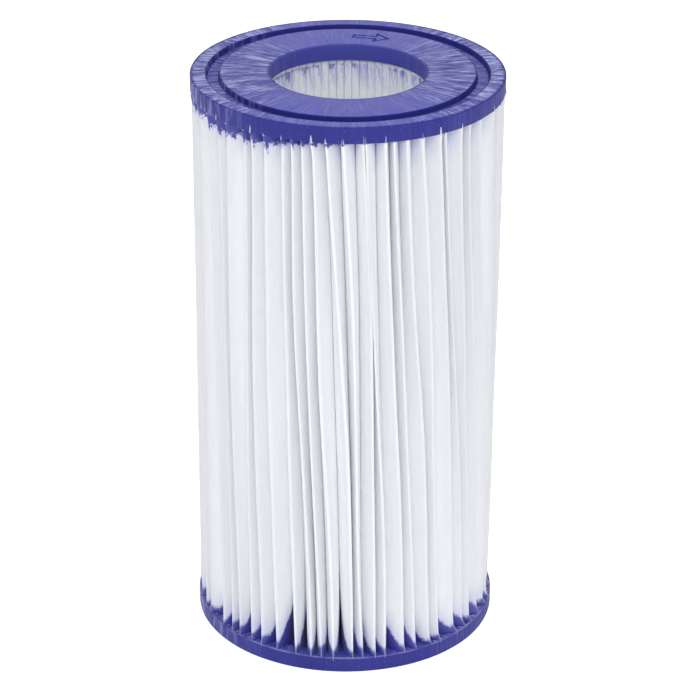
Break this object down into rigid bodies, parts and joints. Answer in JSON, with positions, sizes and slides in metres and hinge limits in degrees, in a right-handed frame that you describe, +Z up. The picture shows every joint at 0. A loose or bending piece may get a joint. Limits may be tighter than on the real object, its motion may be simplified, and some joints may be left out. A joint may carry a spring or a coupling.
{
  "type": "pool filter cartridge",
  "caption": "Upright pleated water filter cartridge: a drum of folded white fabric between two flat blue vinyl end caps, with an open bore right through its middle.",
  "frame": {"origin": "centre of the bore on the outer face of the bottom end cap, which is the face that the cartridge stands on", "axes": "+Z up along the bore to the top end cap; +X from the bore towards the glued seam of the sheet"},
  "size_m": [0.106, 0.106, 0.203],
  "materials": {
    "cap_vinyl": "satin",
    "media_fabric": "matte",
    "seam_glue": "satin"
  },
  "bodies": {
    "root": {"top_end_cap": "cap_vinyl", "bottom_end_cap": "cap_vinyl", "pleated_media": "media_fabric", "seam_bead": "seam_glue"}
  },
  "joints": []
}
